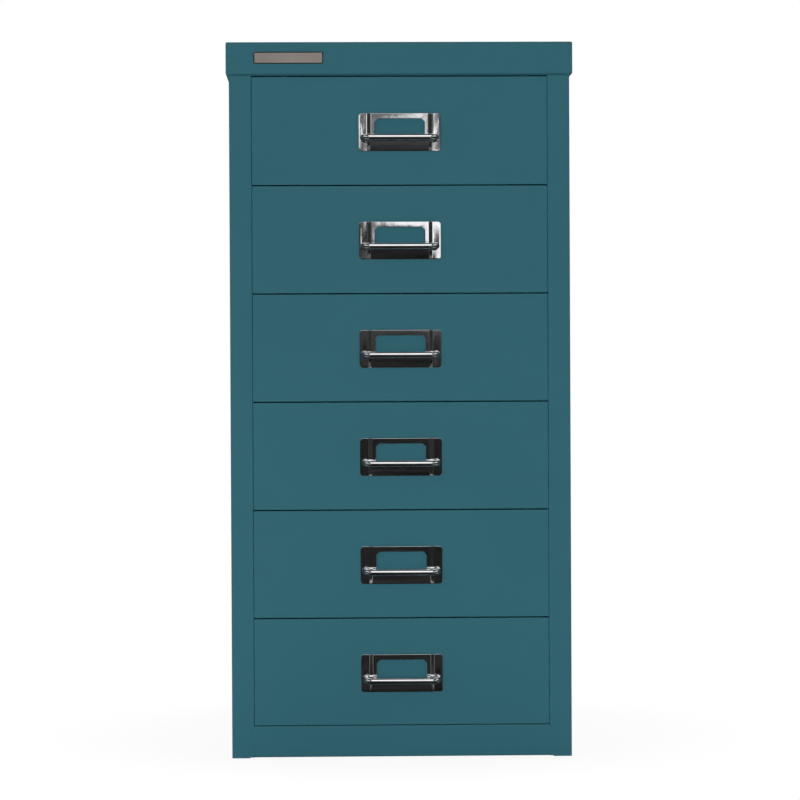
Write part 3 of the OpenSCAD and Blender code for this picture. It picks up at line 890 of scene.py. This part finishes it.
def glide(place):
    """Round foot with a softly turned sole"""
    low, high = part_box(f"foot_{place}")
    radius = (high.x - low.x) / 2
    dish, sole = (radius * share for share in GLIDE_SOLE)
    profile = [(0, GLIDE_HOLLOW), (dish, GLIDE_HOLLOW), (sole, 0),
               (radius - GLIDE_CHAMFER, 0), (radius, GLIDE_CHAMFER),
               (radius, high.z - GLIDE_SOFT), (radius - GLIDE_SOFT, high.z), (0, high.z)]
    bm = bmesh.new()
    add_lathe(bm, profile, ((low.x + high.x) / 2, (low.y + high.y) / 2, 0), (0, 0, 1), 48)
    return make_piece(f"glide_{place}", bm, RUBBER, "case", [f"foot_{place}"], edge=0)


def nameplate():
    """Blank plate on the lid: a satin face in a dark rim"""
    (middle_x, middle_z), (half_w, half_h) = BADGE_PLACE, BADGE_HALF
    for name, finish, inset, sections in (
            ("nameplate_rim", BADGE_RIM, 0, RIM_SECTIONS),
            ("nameplate_face", BADGE_FACE, BADGE_RIM_W, FACE_SECTIONS)):
        bm = bmesh.new()
        rings = []
        for share, depth in sections:
            d = inset + share * BADGE_RIM_W
            w, h = half_w - d, half_h - d
            rings.append(round_ring(
                bm, (middle_x - w, middle_z - h), (middle_x + w, middle_z + h),
                BADGE_CORNER - d * BADGE_CORNER_LOSS, LID[0].y - depth * BADGE_THICK, along_y))
        bridge(bm, rings)
        if inset:
            fill(bm, [rings[0]])
            fill(bm, [rings[-1]])
        else:
            bridge(bm, [rings[-1], rings[0]])
        make_piece(name, bm, finish, "case", edge=BADGE_EDGE)


# ---- drawers ----

def runner(i, side):
    """Channel on the side wall, with a stop tab at each end"""
    low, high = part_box(f"runner_{WORDS[side]}_{i}")
    tray_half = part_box(f"tray_{i}")[1].x
    t = CASE_SHEET / 2
    inner, outer = sorted((abs(low.x), abs(high.x)))
    tab_x = inner + RUNNER_PLAY
    path = [(inner, low.z + t), (outer - t, low.z + t), (outer - t, high.z - t), (tab_x, high.z - t)]
    bm = bmesh.new()
    add_folded_sheet(bm, mirrored(path, side), CASE_SHEET, CASE_FOLD, (low.y, high.y), along_y)
    front_end = tray_half - DRAWER_SHEET - RUNNER_PLAY / 2
    for y, end in ((low.y, front_end), (high.y - CASE_SHEET, tray_half)):
        x0, x1 = sorted((side * tab_x, side * end))
        add_block(bm, (x0, y, low.z + t), (x1, y + CASE_SHEET, low.z + STOP_H + CASE_SHEET))
    return make_piece(f"runner_channel_{WORDS[side]}_{i}", bm, SLIDING_PAINT, "case",
                      [f"runner_{WORDS[side]}_{i}"])


def bead_height(x, y, start, end):
    """Rise of the tray floor over a pressed bead, which fades out smoothly at its rim"""
    reach = BEAD_W / 2 + BEAD_H / 3
    past = max(start - y, y - end, 0)
    away = min(math.hypot(x - bead, past) for bead in BEAD_XS)
    return BEAD_H * (1 + math.cos(math.pi * min(1, away / reach))) / 2


def tray(i):
    """Folded tray with beads in its floor, carrying flanges, walls front and rear, and stop lugs"""
    low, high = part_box(f"tray_{i}")
    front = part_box(f"drawer_front_{i}")
    t = DRAWER_SHEET / 2
    flange_half = high.x
    wall = flange_half - TRAY_FLANGE - t
    lip = flange_half - t
    top_z = front[1].z - TRAY_DROP - t
    lip_z = top_z + t - TRAY_LIP
    floor_z = front[0].z + TRAY_LIFT + t
    rear_y = high.y - TRAY_BACK_FLANGE
    start, end = low.y + BEAD_IN_END + BEAD_W / 2, rear_y - BEAD_IN_END - BEAD_W / 2
    steps = [BEAD_W / 2 * BEAD_SPREAD * k / BEAD_STEPS for k in range(-BEAD_STEPS, BEAD_STEPS + 1)]
    floor_path = [(bead + step, floor_z) for bead in BEAD_XS for step in steps]
    stations = [low.y + DRAWER_SHEET]
    stations += [start + s for s in steps if s <= 0] + [end + s for s in steps if s >= 0]
    bm = bmesh.new()
    add_folded_sheet(bm, [(-lip, lip_z), (-lip, top_z), (-wall, top_z), (-wall, floor_z)] + floor_path
                     + [(wall, floor_z), (wall, top_z), (lip, top_z), (lip, lip_z)],
                     DRAWER_SHEET, DRAWER_FOLD, stations + [rear_y], along_y)
    for vert in bm.verts:
        if abs(vert.co.x) < wall - TRAY_LIFT and vert.co.z < lip_z:
            vert.co.z += bead_height(vert.co.x, vert.co.y, start, end)
    clear = wall - t
    add_folded_sheet(bm, [(high.y, top_z), (rear_y - t, top_z), (rear_y - t, floor_z + t)],
                     DRAWER_SHEET, DRAWER_FOLD, (-clear, clear), along_x)
    wall_half = front[1].x - FRONT_LIP / 2
    add_block(bm, (-wall_half, low.y, low.z), (wall_half, low.y + DRAWER_SHEET, high.z))
    lug_y = rear_y - TRAY_HOLD
    for side in SIDES:
        x0, x1 = sorted((side * (wall + t + 2 * RUNNER_PLAY), side * lip))
        add_block(bm, (x0, lug_y, lip_z + LIP_PLAY), (x1, lug_y + DRAWER_SHEET, top_z))
    make_piece(f"tray_pan_{i}", bm, SLIDING_PAINT, f"drawer_{i}", [f"tray_{i}"])
    marks = [(share * wall, low.y + DRAWER_SHEET, z) for share in TRAY_WELDS_ACROSS
             for z in (floor_z + 2 * FRONT_LIP, top_z)]
    return spot_welds(f"tray_spot_welds_{i}", f"drawer_{i}", marks)


def pull_foot_z(i):
    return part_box(f"label_frame_{i}")[1].z - PULL_BELOW_EDGE


def tenon_rings(bm, i, side, ys):
    """Rings of a hole for the pull's tenon"""
    circle = arc(side * PULL_HALF, pull_foot_z(i), TENON_HOLE_R, 0, 2 * math.pi, TENON_HOLE_STEPS)[:-1]
    return [[bm.verts.new((u, y, v)) for u, v in circle] for y in ys]


def front_pan(i):
    """Hollow drawer front: a pan with round folds and a lip all round behind"""
    low, high = (Vector(corner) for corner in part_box(f"drawer_front_{i}"))
    low.x, high.x = low.x - FRONT_GAIN_X, high.x + FRONT_GAIN_X
    low.z += LAST_LIFT if i == DRAWERS[-1] else -FRONT_GAIN_Z
    high.z += FIRST_GAIN if i == DRAWERS[0] else FRONT_GAIN_Z
    t, near, far = DRAWER_SHEET, low.y, high.y
    lip = FRONT_LIP + t
    section = turn_in(0, near, FRONT_EDGE) + turn_in(0, far, -FRONT_EDGE)[::-1]
    section += [(lip, far), (lip, far - t)]
    section += turn_in(t, far - t, -FRONT_FOLD) + turn_in(t, near + t, FRONT_FOLD)[::-1]
    bm = bmesh.new()
    rings = [round_ring(bm, (low.x + d, low.z + d), (high.x - d, high.z - d), FRONT_EDGE - d, y, along_y)
             for d, y in section]
    bridge(bm, rings)
    holes = [tenon_rings(bm, i, side, (near, near + t)) for side in SIDES]
    for hole in holes:
        bridge(bm, hole)
    merge_points(bm)
    fill(bm, [rings[0]] + [hole[0] for hole in holes])
    fill(bm, [rings[-1]] + [hole[1] for hole in holes])
    return make_piece(f"front_pan_{i}", bm, PAINT, f"drawer_{i}", [f"drawer_front_{i}"])


def frame_relief(x, z, half, window_low, low_z):
    """How far the frame's back stands off the drawer: a raised middle between two crowned ears"""
    ear_half = half - EAR_W
    share = min(1, max(0, (ear_half - abs(x)) / SLOPE_W))
    near_end = min(share, 1 - share)
    if near_end < SLOPE_EASE:
        rise = near_end * near_end / (2 * SLOPE_EASE * (1 - SLOPE_EASE))
    else:
        rise = (near_end - SLOPE_EASE / 2) / (1 - SLOPE_EASE)
    rise = rise if share < 0.5 else 1 - rise
    across = (abs(x) - ear_half) / EAR_W * 2 - 1
    ear = EAR_CROWN * max(0, 1 - across * across)
    down = max(0, (window_low - z) / (window_low - low_z))
    return CARD_DEPTH * rise + ear - share * (LOWER_LEAN * down + LOWER_ROLL * down * down)


def label_frame(i):
    """Stamped label frame: two ears and a raised middle with a window"""
    low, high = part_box(f"label_frame_{i}")
    half, foot_z = high.x, pull_foot_z(i)
    window = half - EAR_W - SLOPE_W - SIDE_RIM
    window_top = high.z - TOP_RIM
    window_low = window_top - WINDOW_H
    r, pi, steps = FRAME_CORNER, math.pi, CORNER_STEPS
    upper = [(-half, foot_z)] + arc(-PULL_HALF, foot_z, TENON_HOLE_R, pi, 0) + [
        (-window, foot_z), (-window, window_top - WINDOW_CUT), (WINDOW_CUT - window, window_top),
        (window - WINDOW_CUT, window_top), (window, window_top - WINDOW_CUT), (window, foot_z)]
    upper += arc(PULL_HALF, foot_z, TENON_HOLE_R, pi, 0) + [(half, foot_z)]
    upper += arc(half - r, high.z - r, r, 0, pi / 2, steps) + arc(r - half, high.z - r, r, pi / 2, pi, steps)
    lower = [(half, foot_z)] + arc(PULL_HALF, foot_z, TENON_HOLE_R, 0, -pi) + [
        (window, foot_z), (window, window_low), (-window, window_low), (-window, foot_z)]
    lower += arc(-PULL_HALF, foot_z, TENON_HOLE_R, 0, -pi) + [(-half, foot_z)]
    lower += arc(r - half, low.z + r, r, pi, 1.5 * pi, steps)
    lower += arc(half - r, low.z + r, r, 1.5 * pi, 2 * pi, steps)
    bm = bmesh.new()
    for outline in (upper, lower):
        bm.faces.new([bm.verts.new((x, 0, z)) for x, z in outline])
    bmesh.ops.remove_doubles(bm, verts=bm.verts, dist=SAME)
    cuts = [(side * (half - EAR_W * k / EAR_CUTS), 0, 0) for k in range(1, EAR_CUTS + 1) for side in SIDES]
    cuts += [(side * (half - EAR_W - SLOPE_W * k / SLOPE_CUTS), 0, 0)
             for k in range(1, SLOPE_CUTS + 2) for side in SIDES]
    cuts += [(0, 0, low.z + (window_low - low.z) * k / LOWER_CUTS) for k in range(1, LOWER_CUTS + 1)]
    for cut in cuts:
        across = (1, 0, 0) if cut[0] else (0, 0, 1)
        everything = bm.verts[:] + bm.edges[:] + bm.faces[:]
        bmesh.ops.bisect_plane(bm, geom=everything, dist=TINY, plane_co=cut, plane_no=across)
    bmesh.ops.recalc_face_normals(bm, faces=bm.faces)
    bmesh.ops.solidify(bm, geom=bm.faces[:], thickness=FRAME_SHEET)
    for vert in bm.verts:
        depth = 0 if abs(vert.co.y) < FRAME_SHEET / 2 else FRAME_SHEET
        vert.co.y = FACE_Y - depth - frame_relief(vert.co.x, vert.co.z, half, window_low, low.z)
    hole_rim = TENON_HOLE_R + FRAME_SHEET / 2
    return make_piece(
        f"label_holder_{i}", bm, PLATE, f"drawer_{i}", [f"label_frame_{i}"], edge=FRAME_EDGE,
        stays_sharp=lambda p: math.hypot(abs(p.x) - PULL_HALF, p.z - foot_z) < hole_rim)


def pull(i):
    """Bent rod with a collar, a tenon and a riveted end at each foot"""
    foot = Vector((0, FACE_Y - FRAME_SHEET, pull_foot_z(i)))
    reach = foot.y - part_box(f"pull_{i}")[0].y - ROD_D / 2
    arm = Vector((0, -reach, -PULL_DROP))
    start = arm.normalized() * COLLAR_H / 2
    ends = [foot + Vector((side * PULL_HALF, 0, 0)) for side in SIDES]
    line = [ends[0] + start, ends[0] + arm, ends[1] + arm, ends[1] + start]
    bm = bmesh.new()
    bm.from_mesh(grow(
        BENT_ROD, line, [(0, 1), (1, 2), (2, 3)], Rod_diameter=ROD_D, Bend_radius=PULL_BEND,
        Bend_steps=10, Sides=32, Finish=PLATE))
    inner = DRAWER_SHEET + FRAME_SHEET
    profile = [(0, COLLAR_H), (COLLAR_R - COLLAR_SOFT, COLLAR_H), (COLLAR_R, COLLAR_H - COLLAR_SOFT),
               (COLLAR_R, 0), (TENON_R, 0), (TENON_R, -inner)]
    profile += [(RIVET_R * wide, -inner - RIVET_H * far) for wide, far in RIVET_SECTIONS]
    for end in ends:
        add_lathe(bm, profile, end, (0, -1, 0))
    return make_piece(f"pull_rod_{i}", bm, PLATE, f"drawer_{i}", [f"pull_{i}"], edge=0)


for side in SIDES:
    side_wall(side)
rear_wall()
rear_spot_welds()
base()
top_ledge()
lid_cap()
lid_screws()
nameplate()
for place in ("front_left", "front_right", "rear_left", "rear_right"):
    glide(place)
for i in DRAWERS:
    for side in SIDES:
        runner(i, side)
    tray(i)
    front_pan(i)
    label_frame(i)
    pull(i)


# ---- studio ----

# The cards and the world's white show in reflections only. Spans and places are in metres.
DARK_CARD = 0.03
ROOM_DIM = (0.012, 0.085)
ROOM_OPENINGS = (  # left, right, low and high edge
    (0.02, 0.9, 0.55, 0.74), (-0.5, -0.02, 0.75, 0.92), (0.07, 0.15, 0.75, 0.92), (0.12, 0.9, 0.46, 0.6))
OPENING_SOFT = 0.03
OPENING_LIGHT = 1.1
ROOM_SIDE_LIGHT = 0.12
GROUND_DARK = (0.006, 0.05)
GROUND_LIGHT = 0.45
FLOOR_HALF = 12
FLOOR_COLOUR = (0.86, 0.86, 0.86, 1)
SOFT_LIGHT = 0.30
MIDDLE = (0, 0, 0.3)
LAMPS = (  # name, place, target, size, power and spread
    ("key_lamp", (-0.06, -2.95, 0.31), (-0.03, 0, -0.32), 0.4, 10.8, 95),
    ("fill_lamp", (-1.6, -2.0, 0.9), MIDDLE, 1.6, 8, 180),
    ("rear_lamp", (0.5, 2.4, 1.8), MIDDLE, 1.8, 32, 180),
    ("top_lamp", (0, 0.85, 2.4), MIDDLE, 1.2, 14, 180),
    ("left_lamp", (-2.3, 0.6, 0.7), MIDDLE, 1.0, 16, 180),
    ("right_lamp", (2.3, 0.6, 0.7), MIDDLE, 1.0, 16, 180))
CAMERA_PLACE = (-0.055157, -2.5826, 0.32231)
CAMERA_TURNS = (("Z", -1.3006), ("X", 90 - 0.6310), ("Z", -0.2708))  # yaw, pitch and roll in degrees
CAMERA_LENS = 131.485
SENSOR_WIDTH = 36


def light_material(name):
    """A material for the studio, with its tree and the socket for its surface"""
    material = bpy.data.materials.new(name)
    material.use_nodes = True
    tree = material.node_tree
    tree.nodes.clear()
    return material, tree, tree.nodes.new("ShaderNodeOutputMaterial").inputs["Surface"]


def card(name, x, y, z, light, upright=True):
    """A flat card that only reflections see. Its light is a strength, or a function of the tree."""
    corners = ((x[0], y[0], z[0]), (x[1], y[1 if upright else 0], z[0]),
               (x[1], y[1], z[1]), (x[0], y[0 if upright else 1], z[1]))
    mesh = bpy.data.meshes.new(name)
    mesh.from_pydata(corners, [], [range(len(corners))])
    material, tree, surface = light_material(name)
    level = light(tree) if callable(light) else light
    tree.links.new(add_node(tree, "ShaderNodeEmission", {"Strength": level}).outputs[0], surface)
    mesh.materials.append(material)
    made = link(name, mesh)
    made.visible_camera = made.visible_diffuse = made.visible_shadow = made.visible_transmission = False


def band(tree, value, low, high, soft):
    """One between two limits and none outside them, with soft ends"""
    return times(tree, soft_step(tree, value, low, low + soft), soft_step(tree, value, high, high - soft))


def room_light(tree):
    """A dim room in front, a little lighter higher up and far out, with bright openings"""
    wander = ramp(tree, noise(tree, 6.0, 3.0), 0.0, 1.0, -0.06, 0.06)
    x, _y, z = split(tree, object_place(tree))
    aside = math_node(tree, "ABSOLUTE", x)
    dim = times(tree, ramp(tree, z, 0.2, 0.85, *ROOM_DIM), ramp(tree, aside, 0.4, 1.2, 1.0, 0.25))
    dim = times(tree, dim, ramp(tree, noise(tree, 9.0, 3.0), 0.35, 0.65, 0.4, 1.6))
    x, z = math_node(tree, "ADD", x, wander), math_node(tree, "ADD", z, wander)
    masks = [times(tree, band(tree, x, left, right, OPENING_SOFT), band(tree, z, low, high, OPENING_SOFT))
             for left, right, low, high in ROOM_OPENINGS]
    bright = masks[0]
    for mask in masks[1:]:
        bright = math_node(tree, "MAXIMUM", bright, mask)
    sides = times(tree, soft_step(tree, aside, 1.2, 1.9, 0.0, ROOM_SIDE_LIGHT),
                  soft_step(tree, aside, 2.3, 2.6, 1.0, 0.0))
    return math_node(tree, "ADD", math_node(tree, "ADD", dim, sides), times(tree, bright, OPENING_LIGHT))


def ground_light(tree):
    """A dark ground with a little light here and there. It is pale on both sides of the middle,
    close to the cabinet and in front of it, where the chrome mirrors it for a view from one side."""
    patches = ramp(tree, noise(tree, 4.0, 3.0), 0.4, 0.75, *GROUND_DARK)
    x, y, _z = split(tree, object_place(tree))
    aside, reach = math_node(tree, "ABSOLUTE", x), distance(tree)
    lean = math_node(tree, "DIVIDE", aside, math_node(tree, "ABSOLUTE", y))
    near = math_node(tree, "MAXIMUM", soft_step(tree, reach, 0.55, 0.8, 1.0, 0.0),
                     soft_step(tree, lean, 0.5, 0.62, 1.0, 0.0))
    near = times(tree, near, soft_step(tree, reach, 1.4, 1.8, 1.0, 0.0))
    pale = times(tree, soft_step(tree, aside, 0.14, 0.6, 0.0, GROUND_LIGHT), near)
    return math_node(tree, "ADD", patches, pale)


def studio_floor():
    """Pale floor. It fades into plain white away from the cabinet, so that it has no horizon."""
    size = FLOOR_HALF
    mesh = bpy.data.meshes.new("studio_floor")
    corners = ((-size, -size, 0), (size, -size, 0), (size, size, 0), (-size, size, 0))
    mesh.from_pydata(corners, [], [range(len(corners))])
    material, tree, surface = light_material("studio_floor")
    matt = add_node(tree, "ShaderNodeBsdfDiffuse", {"Color": FLOOR_COLOUR})
    white = add_node(tree, "ShaderNodeEmission", {"Strength": 1.0})
    seen = tree.nodes.new("ShaderNodeLightPath").outputs["Is Camera Ray"]
    share = times(tree, seen, soft_step(tree, distance(tree), 0.2, 0.34, 0.93, 1.0))
    mixed = add_node(tree, "ShaderNodeMixShader", {0: share, 1: matt.outputs[0], 2: white.outputs[0]})
    tree.links.new(mixed.outputs[0], surface)
    mesh.materials.append(material)
    link("studio_floor", mesh)


def studio_world():
    """Soft light from all round, shown as white to the camera and in reflections"""
    world = bpy.data.worlds.new("studio")
    bpy.context.scene.world = world
    world.use_nodes = True
    tree = world.node_tree
    tree.nodes.clear()
    path = tree.nodes.new("ShaderNodeLightPath").outputs
    shown = math_node(tree, "MAXIMUM", path["Is Camera Ray"], path["Is Glossy Ray"])
    shown = math_node(tree, "MAXIMUM", shown, path["Is Transmission Ray"])
    soft, white = (add_node(tree, "ShaderNodeBackground", {"Color": (1, 1, 1, 1), "Strength": strength})
                   for strength in (SOFT_LIGHT, 1.0))
    mixed = add_node(tree, "ShaderNodeMixShader", {0: shown, 1: soft.outputs[0], 2: white.outputs[0]})
    tree.links.new(mixed.outputs[0], tree.nodes.new("ShaderNodeOutputWorld").inputs["Surface"])


def soft_lamp(name, place, target, size, power, spread):
    light = bpy.data.lights.new(name, "AREA")
    light.shape = "SQUARE"
    light.size = size
    light.energy = power
    light.spread = math.radians(spread)
    lamp = link(name, light)
    lamp.location = place
    lamp.rotation_mode = "QUATERNION"
    lamp.rotation_quaternion = (Vector(target) - Vector(place)).to_track_quat("-Z", "Y")
    lamp.visible_glossy = False


def studio_camera():
    data = bpy.data.cameras.new("camera")
    data.sensor_width = SENSOR_WIDTH
    data.lens = CAMERA_LENS
    camera = link("camera", data)
    pose = Matrix.Translation(CAMERA_PLACE)
    for axis, degrees in CAMERA_TURNS:
        pose = pose @ Matrix.Rotation(math.radians(degrees), 4, axis)
    camera.matrix_world = pose
    bpy.context.scene.camera = camera


studio_floor()
studio_world()
studio_camera()
for lamp in LAMPS:
    soft_lamp(*lamp)
card("room_in_front", (-3, 3), (-3.6, -3.6), (0, 3), room_light)
card("dark_left", (-3, -3), (-3.6, 1.5), (0, 1.6), DARK_CARD)
card("dark_right", (3, 3), (-3.6, 1.5), (0, 1.6), DARK_CARD)
card("dark_behind", (-3, 3), (1.5, 1.5), (0, 1.2), DARK_CARD)
card("dark_ground", (-3, 3), (-3.6, 1.5), (0.0005, 0.0005), ground_light, upright=False)
card("soft_light_above", (-0.8, 0.9), (-2.3, -1.0), (1.0, 2.05), 1.25, upright=False)
card("dark_ceiling", (-3, 3), (-3.6, 0.6), (3, 3), DARK_CARD, upright=False)

bpy.context.scene.view_settings.view_transform = "Standard"
